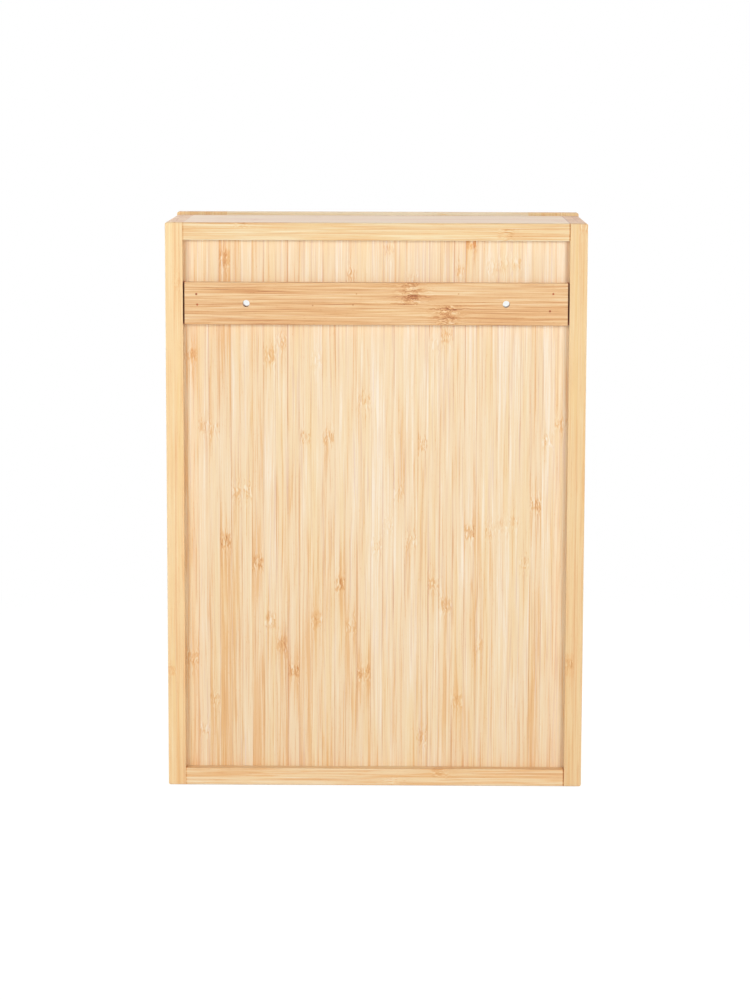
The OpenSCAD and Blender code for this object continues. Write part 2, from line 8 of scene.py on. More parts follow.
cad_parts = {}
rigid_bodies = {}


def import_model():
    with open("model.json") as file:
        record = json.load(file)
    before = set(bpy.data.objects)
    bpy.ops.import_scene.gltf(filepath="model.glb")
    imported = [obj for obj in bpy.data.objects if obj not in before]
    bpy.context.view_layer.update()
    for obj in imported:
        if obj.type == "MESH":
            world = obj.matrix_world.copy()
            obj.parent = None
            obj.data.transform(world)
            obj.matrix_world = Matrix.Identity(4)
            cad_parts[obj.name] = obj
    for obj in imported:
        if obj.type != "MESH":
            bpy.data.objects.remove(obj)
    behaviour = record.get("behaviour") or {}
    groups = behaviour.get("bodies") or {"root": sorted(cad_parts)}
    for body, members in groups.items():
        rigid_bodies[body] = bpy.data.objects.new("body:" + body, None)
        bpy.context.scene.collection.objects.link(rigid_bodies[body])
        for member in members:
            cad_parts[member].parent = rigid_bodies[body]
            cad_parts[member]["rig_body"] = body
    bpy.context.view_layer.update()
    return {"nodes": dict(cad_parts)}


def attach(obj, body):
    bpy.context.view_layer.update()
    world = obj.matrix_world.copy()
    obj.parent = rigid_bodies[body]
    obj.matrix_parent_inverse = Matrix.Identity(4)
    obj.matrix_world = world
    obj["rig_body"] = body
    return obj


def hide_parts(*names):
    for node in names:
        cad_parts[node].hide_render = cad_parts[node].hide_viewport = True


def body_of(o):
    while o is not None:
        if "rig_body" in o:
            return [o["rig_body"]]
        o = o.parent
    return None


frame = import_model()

nodes = frame["nodes"]
print("frame:", len(nodes), "nodes")


# A value or a colour on its way between two nodes, so that sums can be written as sums
class Wire:
    def __init__(self, finish, socket):
        self.finish = finish
        self.socket = socket

    def math(self, operation, *others):
        return self.finish.add("ShaderNodeMath", {"operation": operation},
                               dict(enumerate((self, *others))))

    def __add__(self, other):
        return self.math("ADD", other)

    def __sub__(self, other):
        return self.math("SUBTRACT", other)

    def __rsub__(self, other):
        return self.finish.add("ShaderNodeMath", {"operation": "SUBTRACT"}, {0: other, 1: self})

    def __mul__(self, other):
        return self.math("MULTIPLY", other)

    def __truediv__(self, other):
        return self.math("DIVIDE", other)

    def __gt__(self, other):
        return self.math("GREATER_THAN", other)

    def __lt__(self, other):
        return self.math("LESS_THAN", other)

    def __abs__(self):
        return self.math("ABSOLUTE")

    __radd__ = __add__
    __rmul__ = __mul__


# One material, or the world, and the nodes in it
class Finish:
    def __init__(self, name, owner=None):
        self.material = owner or bpy.data.materials.new(name)
        self.material.use_nodes = True
        self.tree = self.material.node_tree
        self.tree.nodes.clear()

    def add(self, kind, settings={}, sockets={}, out=0):
        node = self.tree.nodes.new(kind)
        for key, value in settings.items():
            if key == "stops":
                ramp = node.color_ramp
                while len(ramp.elements) < len(value):
                    ramp.elements.new(1)
                for stop, (position, colour) in zip(ramp.elements, value):
                    stop.position = position
                    stop.color = colour
            elif key == "between":
                node.color_ramp.interpolation = value
            else:
                setattr(node, key, value)
        for key, value in sockets.items():
            if isinstance(value, Wire):
                self.tree.links.new(value.socket, node.inputs[key])
            else:
                node.inputs[key].default_value = value
        return Wire(self, node.outputs[out]) if node.outputs else None

    def split(self, vector):
        first = self.add("ShaderNodeSeparateXYZ", {}, {0: vector})
        return [Wire(self, socket) for socket in first.socket.node.outputs]

    def vector(self, x, y, z):
        return self.add("ShaderNodeCombineXYZ", {}, {0: x, 1: y, 2: z})

    def noise(self, place, detail=2, rough=0.5, swirl=0):
        return self.add("ShaderNodeTexNoise", {}, {"Vector": place, "Scale": 1, "Detail": detail,
                                                   "Roughness": rough, "Distortion": swirl})

    def chances(self, place, dimensions="3D"):
        return self.split(self.add("ShaderNodeTexWhiteNoise", {"noise_dimensions": dimensions},
                                   {"Vector": place}, out=1))

    def cells(self, place):
        return self.add("ShaderNodeTexVoronoi", {}, {"Vector": place, "Scale": 1})

    def length(self, vector):
        return self.add("ShaderNodeVectorMath", {"operation": "LENGTH"}, {0: vector}, out="Value")

    def step(self, value, low, high):
        return self.add("ShaderNodeMapRange", {"interpolation_type": "SMOOTHSTEP"},
                        {0: value, 1: low, 2: high})

    def pick(self, factor, a, b):
        return self.add("ShaderNodeMix", {"data_type": "FLOAT"}, {0: factor, 2: a, 3: b})

    def tint(self, factor, a, b, way="MIX"):
        return self.add("ShaderNodeMix", {"data_type": "RGBA", "blend_type": way},
                        {0: factor, 6: a, 7: b}, out=2)

    def objectPlace(self, scale=1000):
        place = self.add("ShaderNodeTexCoord", out="Object")
        return self.add("ShaderNodeVectorMath", {"operation": "SCALE"},
                        {0: place, "Scale": scale})

    def facing(self):
        return dict(zip("xyz", self.split(self.add("ShaderNodeTexCoord", out="Normal"))))

    def bump(self, height, millimetres):
        return self.add("ShaderNodeBump", {}, {"Height": height, "Strength": 1,
                                               "Distance": millimetres / 1000})

    def surface(self, sockets):
        self.show(self.add("ShaderNodeBsdfPrincipled", {}, sockets))

    def show(self, shader):
        self.add("ShaderNodeOutputMaterial", {}, {"Surface": shader})


def rgb(red, green, blue):
    def linear(level):
        level /= 255
        return level / 12.92 if level <= 0.04045 else ((level + 0.055) / 1.055) ** 2.4
    return (linear(red), linear(green), linear(blue), 1)


white = (1, 1, 1, 1)

# Camera at the place the photograph was taken from
view = {"place": (-0.022, 2.50, 0.194), "pitch": -8.26, "yaw": 0.515, "roll": 0.164, "lens": 105.6,
        "sensor": 36, "frame": (750, 1000)}
turn = (Matrix.Rotation(math.radians(180 + view["yaw"]), 3, "Z")
        @ Matrix.Rotation(math.radians(90 + view["pitch"]), 3, "X")
        @ Matrix.Rotation(math.radians(view["roll"]), 3, "Z"))
camera = bpy.data.objects.new("camera", bpy.data.cameras.new("camera"))
bpy.context.scene.collection.objects.link(camera)
camera.data.sensor_width = view["sensor"]
camera.data.lens = view["lens"]
camera.matrix_world = Matrix.Translation(view["place"]) @ turn.to_4x4()
bpy.context.scene.camera = camera


# Where a point of the photograph lies on an upright plane, in millimetres
def onPlane(column, row, planeY):
    width, height = view["frame"]
    focal = view["lens"] / view["sensor"] * height
    ray = turn @ Vector(((column - width / 2) / focal, (height / 2 - row) / focal, -1))
    start = Vector(view["place"])
    point = start + ray * ((planeY - start.y) / ray.y)
    return point.x * 1000, point.z * 1000


# The same for the plane of the boards' back edges: how high a row is and how far aside a column
def backHeight(row, column=376):
    return onPlane(column, row, 0)[1]


def backAside(column, row=500):
    return onPlane(column, row, 0)[0]


# Light: two lamps beside the camera, two large ones for the front, two for the sides, one above
# and an even sky
studio = {
    "lamps": [  # azimuth from +Y, elevation, distance, width, height, light on a wall facing it
        ("backLeft", 24, 12, 2.6, 0.9, 0.9, 0.365),
        ("backRight", -24, 12, 2.6, 0.9, 0.9, 0.375),
        ("frontLeft", 145, 18, 2.8, 2.4, 2.6, 0.42),
        ("frontRight", -141, 18, 2.8, 2.4, 2.6, 0.40),
        ("sideLeft", 90, 14, 2.6, 1.3, 1.3, 0.24),
        ("sideRight", -90, 14, 2.6, 1.3, 1.3, 0.24),
    ],
    "above": {"place": (0, -0.30, 2.2), "aim": (0, -0.10, 0), "size": 1.7, "level": 0.03},
    "sky": 0.20,
    "target": (0, -0.07, -0.17),
}


def addLamp(name, place, aim, width, height, level):
    lamp = bpy.data.lights.new(name, "AREA")
    lamp.shape = "RECTANGLE"
    lamp.size, lamp.size_y = width, height
    ray = Vector(aim) - Vector(place)
    lamp.energy = level * math.pi ** 2 * ray.length ** 2
    thing = bpy.data.objects.new(name, lamp)
    aimed = ray.to_track_quat("-Z", "Y").to_matrix().to_4x4()
    thing.matrix_world = Matrix.Translation(place) @ aimed
    thing.visible_camera = False
    thing.visible_glossy = name.startswith("front")  # the others would whiten the flatly seen top
    thing.visible_transmission = False  # glass lets shadow rays through, so nothing counts twice
    bpy.context.scene.collection.objects.link(thing)


target = Vector(studio["target"])
for name, azimuth, elevation, distance, width, height, level in studio["lamps"]:
    around, up = math.radians(azimuth), math.radians(elevation)
    away = Vector((math.sin(around) * math.cos(up), math.cos(around) * math.cos(up), math.sin(up)))
    addLamp(name, target + away * distance, target, width, height, level)
above = studio["above"]
addLamp("above", above["place"], above["aim"], above["size"], above["size"], above["level"])


# 1 for rays that look at the backdrop, through glass or off metal too, and 0 for the light itself
def lookingRay(finish):
    outputs = finish.add("ShaderNodeLightPath").socket.node.outputs
    straight, offMetal, throughGlass, bounces = [
        Wire(finish, outputs[name]) for name in
        ("Is Camera Ray", "Is Glossy Ray", "Is Transmission Ray", "Diffuse Depth")]
    return straight.math("MAXIMUM", offMetal).math("MAXIMUM", throughGlass) * (bounces < 0.5)


world = bpy.data.worlds.new("sky")
bpy.context.scene.world = world
sky = Finish("sky", world)
strength = sky.pick(lookingRay(sky), studio["sky"], 1)
background = sky.add("ShaderNodeBackground", {}, {"Color": white, "Strength": strength})
sky.add("ShaderNodeOutputWorld", {}, {"Surface": background})

floorLook = {
    "size": 14, "height": -0.4212, "colour": (218, 218, 218),
    "glow": 0.84, "shadow": 0.30,  # for looking rays: even light, and the part that can be shaded
    "shadowReach": (0.45, 1.1),  # the shadow fades out between these distances
}


def makeFloor(look):
    bm = bmesh.new()
    bmesh.ops.create_grid(bm, x_segments=1, y_segments=1, size=look["size"] / 2,
                          matrix=Matrix.Translation((0, 0, look["height"])))
    mesh = bpy.data.meshes.new("floor")
    bm.to_mesh(mesh)
    bm.free()
    floor = bpy.data.objects.new("floor", mesh)
    bpy.context.scene.collection.objects.link(floor)
    f = Finish("floor")
    matt = f.add("ShaderNodeBsdfDiffuse", {}, {"Color": rgb(*look["colour"])})
    lit = f.add("ShaderNodeBsdfDiffuse", {}, {"Color": (*[look["shadow"]] * 3, 1)})
    glow = f.add("ShaderNodeEmission", {}, {"Color": white, "Strength": look["glow"]})
    near = f.add("ShaderNodeAddShader", {}, {0: lit, 1: glow})
    far = f.add("ShaderNodeEmission", {}, {"Color": white, "Strength": 1})
    faded = f.step(f.length(f.objectPlace(1)), *look["shadowReach"])
    seen = f.add("ShaderNodeMixShader", {}, {0: faded, 1: near, 2: far})
    f.show(f.add("ShaderNodeMixShader", {}, {0: lookingRay(f), 1: matt, 2: seen}))
    mesh.materials.append(f.material)


makeFloor(floorLook)
print("camera, lamps and floor are up")


# Bamboo boards are glued up from strips. Every strip has its own tone, its own fibres and a
# ring across it where the cane had a joint. Lengths in these settings are in millimetres.

# Strips that are known one by one: from where to where each goes, its tone, and where its two
# rings are with how strong they are. Colour ramps hold them, four values to a stop.
ramps = {
    "stops": 32,  # the most that one ramp takes
    "metre": 1000, "lift": 1000,  # a ramp holds metres, and rings are lifted to be positive
    "toneSpan": 4,
    "noRing": -900,  # off every board
}


def knownStrips(f, across, through, along, look):
    strips = sorted(look["strips"], key=lambda strip: strip["start"])
    low, metre, lift = strips[0]["start"], ramps["metre"], ramps["lift"]

    def table(part, pickFour):
        first, last = part[0]["start"], part[-1]["end"]
        stops = [((strip["start"] - first) / (last - first), pickFour(strip)) for strip in part]
        ramp = f.add("ShaderNodeValToRGB", {"stops": stops, "between": "CONSTANT"},
                     {0: (across - first) / (last - first)})
        return ramp, Wire(f, ramp.socket.node.outputs[1])

    def wholeTable(pickFour):
        if len(strips) <= ramps["stops"]:
            colour, alpha = table(strips, pickFour)
        else:
            half = (len(strips) + 1) // 2
            far = across > strips[half]["start"]
            one, two = table(strips[:half], pickFour), table(strips[half:], pickFour)
            colour, alpha = f.tint(far, one[0], two[0]), f.pick(far, one[1], two[1])
        return [*f.split(colour), alpha]

    def places(strip):
        return (*[(edge - low) / metre for edge in (strip["start"], strip["end"])],
                *[(ring + lift) / metre for ring in strip["rings"]])

    def looks(strip):
        return (strip["tone"] / ramps["toneSpan"] + 0.5, *strip["strong"], 1)

    start, end, ringOne, ringTwo = wholeTable(places)
    tone, strongOne, strongTwo, _ = wholeTable(looks)
    start, end = start * metre + low, end * metre + low
    one, two = along - (ringOne * metre - lift), along - (ringTwo * metre - lift)
    first = abs(one) < abs(two)
    return {"id": start, "tone": (tone - 0.5) * ramps["toneSpan"], "ring": f.pick(first, two, one),
            "strong": f.pick(first, strongTwo, strongOne), "layer": 0,
            "seam": (across - start).math("MINIMUM", end - across).math("MAXIMUM", 0)}


# Strips of about one width, in one layer or two with a glue line between them
layout = {
    "wanderRate": 0.6, "wander": 0.5,  # how far the seams stray from an even pitch
    "layerShift": 0.37, "layerStray": 3.3,  # the second layer's seams lie elsewhere
    "idSteps": (7.3, 3.1),
    "strongest": 0.9,
    "backFrom": -12,  # rings that are seen on the back edge go in this far
}


def evenStrips(f, across, through, along, look):
    layer = through > look["glueAt"]
    wanderAt = across * (layout["wanderRate"] / look["pitch"]) + layer * layout["layerStray"]
    wander = f.add("ShaderNodeTexNoise", {"noise_dimensions": "1D"},
                   {"W": wanderAt, "Scale": 1, "Detail": 0})
    count = ((across - look["from"]) / look["pitch"] + layer * layout["layerShift"]
             + wander * layout["wander"])
    strip = count.math("FLOOR")
    part = count - strip
    one, two, three = f.chances(f.vector(strip, layer, look["seed"]))
    cycle = along / look["cane"] + two
    ring = (cycle - cycle.math("FLOOR") - 0.5) * look["cane"]
    strong = three * layout["strongest"]
    if "backRings" in look:
        seen = look["backRings"]
        spots = ([backHeight(row) for row in seen["rows"]] if "rows" in seen
                 else [backAside(column) for column in seen["columns"]])
        atBack = across > layout["backFrom"]
        ring = f.pick(atBack, ring, along - f.pick(layer, *spots))
        strong = f.pick(atBack, strong, f.pick(layer, *seen["strong"]))
    seam = part.math("MINIMUM", 1 - part) * look["pitch"]
    idStep, layerStep = layout["idSteps"]
    return {"id": strip * idStep + layer * layerStep,
            "tone": (one - 0.5) * 2 + f.pick(layer, *look["layerTones"]),
            "ring": ring, "strong": strong, "layer": layer,
            "seam": seam.math("MINIMUM", abs(through - look["glueAt"]))}


# How often each pattern changes in a millimetre, across a board and along it
rates = {
    "ringShift": (0.22, 0.03), "wave": 0.12, "bend": (0.45, 0.14), "fine": (1.1, 0.018),
    "slow": (0.05, 0.008), "specks": (1.6, 0.22), "seams": 0.010, "endDots": 1.5,
    "hair": (0.75, 0.011), "straw": (0.16, 0.006),
    "growthShare": 0.7,  # of the grain's own rate along the board
    "slowStep": 0.9, "seamStep": 1.7,  # from one strip's number to the next
}
# Where a mark begins on its pattern or its distance and where it is full
marks = {
    "bend": (2.4, 2), "band": (0.5, 0.75, 0.3), "growth": (0.045, 0.0), "pale": (0.52, 0.66),
    "brownFrom": (0.33, 0.46), "brownTo": (0.59, 0.50), "clearOfSeam": (0.2, 1.8), "patchEnd": 3,
    "patch": (0.64, 0.40), "seam": (0.80, 0.15), "seamStrength": (0.42, 0.62),
    "specks": (0.60, 0.72), "pin": (0.95, 0.30), "joint": (1.3, 0.5), "squareOn": (0.75, 0.95),
    "endDots": (0.42, 0.16), "hair": (0.58, 0.70), "straw": (0.48, 0.66), "paleEdge": (0.8, 1),
}
depths = {"seamLeast": 0.02, "pin": 0.30, "joint": (0.2, 0.5), "paleEdge": 0.28, "endDots": 0.18}
faintest = {"ring": 0.15, "atSeam": 0.4}  # how much of a ring's brown is left where it is weakest
relief = {"fine": 0.8, "grain": 0.5, "seam": 0.7, "flecks": 0.35, "millimetres": 0.06}
duller = {"fine": 0.18, "ring": 0.08, "end": 0.14}  # what these add to the roughness
tints = {"rose": (238, 222, 228), "straw": (253, 247, 226)}
# Painted shade: a dark red-brown painted into the gaps between the rail's ends and the side boards,
# where shade falls
gapShade = {"from": (163.2, 163.5), "to": (165.6, 165.35), "halfHeight": (18.6, 18),
         "depth": (-1.5, -7), "end": -10.35, "strength": 0.9, "colour": (188, 78, 44)}


def bamboo(name, look):
    f = Finish(name)
    axes = dict(zip("xyz", f.split(f.objectPlace())))
    across, through, along = (axes[letter] for letter in look["axes"])
    strip = (knownStrips if "strips" in look else evenStrips)(f, across, through, along, look)
    one, two, three = f.chances(f.vector(strip["id"], strip["layer"] + look["seed"], 0), "2D")

    def pattern(x, y, z, **quality):
        return f.noise(f.vector(x, y, z), **quality)

    def atLeast(least, strength):
        return strength * (1 - least) + least

    # The fibres wave a little, and bend more beside a ring. Every strip is moved to another part
    # of each pattern by its three chances.
    rate, alongRate = rates["ringShift"]
    shift = pattern(across * rate, one * 50, along * alongRate, detail=1) - 0.5
    ring = strip["ring"] + shift * look["ringShift"]
    reach, end = marks["bend"]
    nearRing = f.step(abs(ring), look["ringHeight"] * reach, end)
    spread, least, full = marks["band"]
    band = f.step(abs(ring), look["ringHeight"] * (two * spread + least), look["ringHeight"] * full)
    wave = pattern(across * rates["wave"], two * 30, along * look["waveRate"], detail=1) - 0.5
    rate, alongRate = rates["bend"]
    bend = pattern(across * rate, one * 40, along * alongRate, detail=1) - 0.5
    fibre = across + wave * look["wave"] + nearRing * bend * look["ringBend"]

    grain = pattern(fibre * look["grain"], through * look["grain"] + one * 90,
                    along * look["length"] + two * 90, detail=3, rough=look["crisp"])
    rate, alongRate = rates["fine"]
    fine = pattern(fibre * rate, through * rate + two * 90, along * alongRate + one * 90,
                   detail=2, rough=0.7)
    rate, alongRate = rates["slow"]
    slow = pattern(strip["id"] * rates["slowStep"], across * rate, along * alongRate, detail=2)
    rate, alongRate = rates["specks"]
    specks = pattern(fibre * rate, through * rate, along * alongRate + three * 60, detail=1)
    contour = pattern(fibre * look["contour"], through * look["contour"] + two * 70,
                      along * look["length"] * rates["growthShare"] + one * 30, detail=1)
    growth = f.step(abs(contour - 0.5), *marks["growth"])  # thin lines that meet and part again

    # The ring itself: pale flecks with brown round them, and a darker patch that fades away
    rate, alongRate, swirl = look["flecks"]
    squiggle = pattern(across * rate, through * rate + one * 20, along * alongRate,
                       detail=2, rough=0.55, swirl=swirl)
    palePart = f.step(squiggle, *marks["pale"]) * band
    clearOfSeam = f.step(strip["seam"], *marks["clearOfSeam"])
    brownPart = (f.step(squiggle, *marks["brownFrom"]) * f.step(squiggle, *marks["brownTo"]) * band
                 * atLeast(faintest["ring"], strip["strong"])
                 * atLeast(faintest["atSeam"], clearOfSeam))
    patch = (f.step(abs(ring + look["patchShift"]), look["patchReach"], marks["patchEnd"])
             * strip["strong"] * f.step(grain, *marks["patch"]))

    line = f.step(strip["seam"], *marks["seam"])
    uneven = pattern(strip["id"] * rates["seamStep"], along * rates["seams"], 4.4, detail=1)
    seamStrength = f.step(uneven, *marks["seamStrength"])
    # drift raises the value along each board: on the upright panel and side boards this is painted
    # light, lighter towards the top to stand in for light that falls off downwards, and on the
    # bottom board it makes it lighter towards +X. lean makes the panel darker towards +X.
    value = (look["level"] + strip["tone"] * look["toneSpread"] + (grain - 0.5) * look["grainDepth"]
             + (fine - 0.5) * look["fineDepth"] + (slow - 0.5) * look["slowDepth"]
             - f.step(specks, *marks["specks"]) * look["speckDepth"] - growth * look["growthDepth"]
             + along * look["drift"] + across * look["lean"]
             - line * (depths["seamLeast"] + seamStrength * look["seamDepth"])
             + palePart * look["fleckDepth"] - brownPart * look["ringDepth"]
             - patch * look["patchDepth"])
    for mark in look.get("pinMarks", ()):  # small dark dots on the face
        spotX, spotZ = onPlane(mark["column"], mark["row"], 0)
        away = f.length(f.vector(axes["x"] - spotX, axes["z"] - spotZ, 0))
        value = value - f.step(away, *marks["pin"]) * depths["pin"]

    if "jointAt" in look:  # a dark line where the board meets the next one, weaker at the +X end
        begin, full = (look["jointAt"] - inside for inside in marks["joint"])
        value = value - f.step(abs(along), begin, full) * f.pick(along < 0, *depths["joint"])

    if "paleEdge" in look:  # painted light: the strip along the upper edge of the door's back is painted paler to stand in for the light it catches
        (backY, lowZ), (fadeY, fadeZ) = look["paleEdge"], marks["paleEdge"]
        paintedLightMask = f.step(axes["y"], backY, backY + fadeY) * f.step(axes["z"], lowZ, lowZ + fadeZ)
        value = value + paintedLightMask * depths["paleEdge"]

    # On the ends of a board the fibres show as dots
    facing = f.facing()
    endGrain = f.step(abs(facing[look["axes"][2]]), *marks["squareOn"])
    cells = f.cells(f.vector(across * rates["endDots"], through * rates["endDots"], 0))
    dots = f.step(cells, *marks["endDots"])
    value = value - endGrain * (look["endDepth"] + dots * depths["endDots"])
    if "topShade" in look:  # painted shade: faces that look up are painted a little darker, as less light falls on them from above
        value = value - f.step(facing["z"], *marks["squareOn"]) * look["topShade"]

    # Tints: rose in hairlines and along some seams, straw in broader streaks
    stops = [(position, rgb(*colour)) for position, colour in look["colours"]]
    colour = f.add("ShaderNodeValToRGB", {"stops": stops, "between": "EASE"}, {0: value})
    rate, alongRate = rates["hair"]
    hair = pattern(fibre * rate, through * rate + three * 70, along * alongRate, detail=1)
    rosy = (f.step(hair, *marks["hair"]) * look["rosy"]
            + line * seamStrength * three * look["rosySeam"])
    colour = f.tint(rosy, colour, rgb(*tints["rose"]), "MULTIPLY")
    rate, alongRate = rates["straw"]
    straw = pattern(fibre * rate + two * 40, through * rate, along * alongRate + one * 60, detail=2)
    colour = f.tint(f.step(straw, *marks["straw"]) * look["straw"], colour, rgb(*tints["straw"]),
                    "MULTIPLY")
    # Painted shade: the faces in the gaps beside the rail's ends are tinted dark red-brown
    if look["stained"]:
        slot = (f.step(abs(axes["x"]), *gapShade["from"]) * f.step(abs(axes["x"]), *gapShade["to"])
                * f.step(abs(axes["z"]), *gapShade["halfHeight"])
                * f.step(axes["y"], *gapShade["depth"]) * (axes["y"] > gapShade["end"]))
        colour = f.tint(slot * gapShade["strength"], colour, rgb(*gapShade["colour"]))
    height = ((fine - 0.5) * relief["fine"] + (grain - 0.5) * relief["grain"]
              - line * relief["seam"] + (palePart - brownPart) * relief["flecks"])
    roughness = (look["gloss"] + (fine - 0.5) * duller["fine"] + brownPart * duller["ring"]
                 + endGrain * duller["end"])
    f.surface({
        "Base Color": colour,
        "Roughness": roughness,
        "Normal": f.bump(height, relief["millimetres"]),
        "Specular IOR Level": 0.5,
        "Coat Weight": 0.3,
        "Coat Roughness": 0.3,
        "Sheen Weight": look["sheen"],
        "Sheen Roughness": 0.4,
        "Sheen Tint": (1.0, 0.86, 0.93, 1),
    })
    return f.material


# Colours from the darkest mark to the palest fibre
cream = [(0.0, (168, 104, 54)), (0.2, (212, 150, 92)), (0.40, (230, 185, 133)),
         (0.60, (239, 214, 177)), (0.80, (245, 230, 209)), (1.0, (249, 239, 224))]
honey = [(0.0, (172, 104, 48)), (0.2, (214, 152, 90)), (0.40, (235, 187, 132)),
         (0.60, (241, 208, 157)), (0.80, (246, 225, 186)), (1.0, (249, 236, 208))]
amber = [(0.0, (153, 88, 50)), (0.2, (198, 137, 86)), (0.35, (218, 165, 112)),
         (0.50, (228, 185, 135)), (0.65, (235, 201, 154)), (0.85, (242, 219, 184)),
         (1.0, (245, 229, 200))]
deeper = [(position, tuple(0.975 * part for part in colour)) for position, colour in honey]
muted = [(position, tuple((a + b) / 2 for a, b in zip(one, two)))
         for (position, one), (_, two) in zip(cream, honey)]
plain = {
    "axes": "yxz",  # across, through and along
    "pitch": 19, "from": -3, "glueAt": -1000, "layerTones": (0, 0), "cane": 262, "seed": 3,
    "grain": 0.40, "length": 0.007, "crisp": 0.68, "contour": 0.30, "wave": 2.0, "waveRate": 0.010,
    "ringBend": 4, "ringHeight": 7, "ringShift": 7, "patchShift": 3, "patchReach": 24,
    "flecks": (0.60, 0.12, 0.4),
    "level": 0.59, "toneSpread": 0.06, "drift": 0, "lean": 0, "grainDepth": 0.55, "fineDepth": 0.30,
    "slowDepth": 0.28, "growthDepth": 0.07, "speckDepth": 0.06, "seamDepth": 0.12,
    "fleckDepth": 0.14, "ringDepth": 0.26, "patchDepth": 0.10, "endDepth": 0.14,
    "rosy": 0.25, "rosySeam": 0.4, "straw": 0.2, "stained": False, "gloss": 0.44, "sheen": 0.02,
    "colours": honey,
}

# The back panel's strips, read off the photograph from left to right: the column of the left
# edge at the panel's middle, the tone, and the rows of the rings with how strong they are
panelLook = dict(
    plain, axes="xyz", seed=11, colours=cream, grain=0.46, crisp=0.70, contour=0.40, ringHeight=8.5,
    patchReach=42, level=0.643, toneSpread=0.055, drift=0.00019, lean=-0.00016, grainDepth=0.60,
    fineDepth=0.39, slowDepth=0.30, growthDepth=0.08, seamDepth=0.07, fleckDepth=0.12,
    patchDepth=0.14, rosy=0.5, rosySeam=0.9, straw=0.5, stained=True)
panelSeen = {"edgeRow": 400, "rightEdge": 566, "plane": -0.010}
panelStrips = [
    {"left": 187, "tone": 0.0, "rings": [(355, 0.6), (658, 0.5)]},
    {"left": 198, "tone": 0.7, "rings": [(426, 0.4), (728, 0.3)]},
    {"left": 209, "tone": 0.0, "rings": [(429, 0.4), (698, 0.4)]},
    {"left": 219.5, "tone": -1.0, "rings": [(259, 0.6), (542, 0.9)]},
    {"left": 231, "tone": -0.5, "rings": [(493, 0.4)]},
    {"left": 241.5, "tone": 1.0, "rings": [(492, 0.3)]},
    {"left": 252, "tone": -1.0, "rings": [(563, 0.8)]},
    {"left": 264, "tone": 0.6, "rings": [(356, 0.5), (621, 0.5)]},
    {"left": 276, "tone": 0.3, "rings": [(341, 0.3), (645, 0.6)]},
    {"left": 287.5, "tone": -0.6, "rings": [(670, 0.8)]},
    {"left": 299.5, "tone": 0.1, "rings": [(437, 0.5)]},
    {"left": 311, "tone": 0.2, "rings": [(360, 0.2), (620, 0.4)]},
    {"left": 322.5, "tone": -0.6, "rings": [(438, 0.6)]},
    {"left": 335, "tone": 0.4, "rings": [(584, 0.8)]},
    {"left": 346, "tone": 0.1, "rings": [(275, 0.3), (626, 0.4)]},
    {"left": 357.5, "tone": -0.4, "rings": [(402, 0.2), (675, 0.6)]},
    {"left": 371.5, "tone": 0.8, "rings": [(546, 0.2)]},
    {"left": 383, "tone": 1.0, "rings": [(250, 0.3), (524, 0.1)]},
    {"left": 394, "tone": -0.1, "rings": [(493, 0.1)]},
    {"left": 405.5, "tone": 0.6, "rings": [(281, 0.3), (542, 0.1)]},
    {"left": 418.5, "tone": 0.3, "rings": [(444, 0.5), (737, 0.5)]},
    {"left": 429, "tone": 0.8, "rings": [(345, 0.1), (583, 0.5)]},
    {"left": 440, "tone": 0.0, "rings": [(335, 0.5), (605, 0.5)]},
    {"left": 453.5, "tone": -0.3, "rings": [(272, 0.3), (701, 0.3)]},
    {"left": 465, "tone": 0.0, "rings": [(243, 0.8), (533, 1.0)]},
    {"left": 476.5, "tone": -0.3, "rings": [(646, 0.2)]},
    {"left": 486, "tone": 0.0, "rings": [(268, 0.3), (531, 0.2)]},
    {"left": 497.5, "tone": 0.9, "rings": [(266, 0.3), (527, 0.2)]},
    {"left": 509, "tone": 0.5, "rings": [(265, 0.3), (523, 0.2)]},
    {"left": 520.5, "tone": 0.0, "rings": [(564, 0.3)]},
    {"left": 531.5, "tone": -1.0, "rings": [(505, 0.8)]},
    {"left": 543, "tone": 0.3, "rings": [(441, 0.3)]},
    {"left": 555, "tone": 0.0, "rings": [(425, 0.4)]},
]


def panelStrip(seen, rightEdge):
    start, end = (onPlane(column, panelSeen["edgeRow"], panelSeen["plane"])[0]
                  for column in (rightEdge, seen["left"]))
    rings = [onPlane(seen["left"], row, panelSeen["plane"])[1] for row, strong in seen["rings"]]
    strengths = [strong for row, strong in seen["rings"]]
    missing = 2 - len(rings)
    return {"start": start, "end": end, "tone": seen["tone"],
            "rings": rings + [ramps["noRing"]] * missing, "strong": strengths + [0] * missing}


rightEdges = [seen["left"] for seen in panelStrips[1:]] + [panelSeen["rightEdge"]]
panelLook["strips"] = [panelStrip(*pair) for pair in zip(panelStrips, rightEdges)]

# The rail is two strips, one above the other, each with one ring
railLook = dict(
    plain, axes="zyx", seed=5, colours=amber, grain=0.82, length=0.009, crisp=0.85, contour=0.85,
    wave=3, waveRate=0.012, ringBend=6, ringHeight=12, ringShift=3, patchShift=-5, patchReach=22,
    flecks=(0.34, 0.20, 0.6), level=0.515, toneSpread=0.05, grainDepth=1.3, fineDepth=0.45,
    slowDepth=0.22, growthDepth=0.17, speckDepth=0.08, fleckDepth=0.18, ringDepth=0.20,
    patchDepth=0.08, rosy=0.35, stained=True,
    pinMarks=[{"column": 353, "row": 305}, {"column": 356.5, "row": 294},
              {"column": 458.6, "row": 294}, {"column": 312.7, "row": 305.5}])
railSeen = {"topRow": 280, "seamRow": 305, "bottomRow": 325, "ringRow": 300, "upperRing": 411,
            "lowerRing": 447}


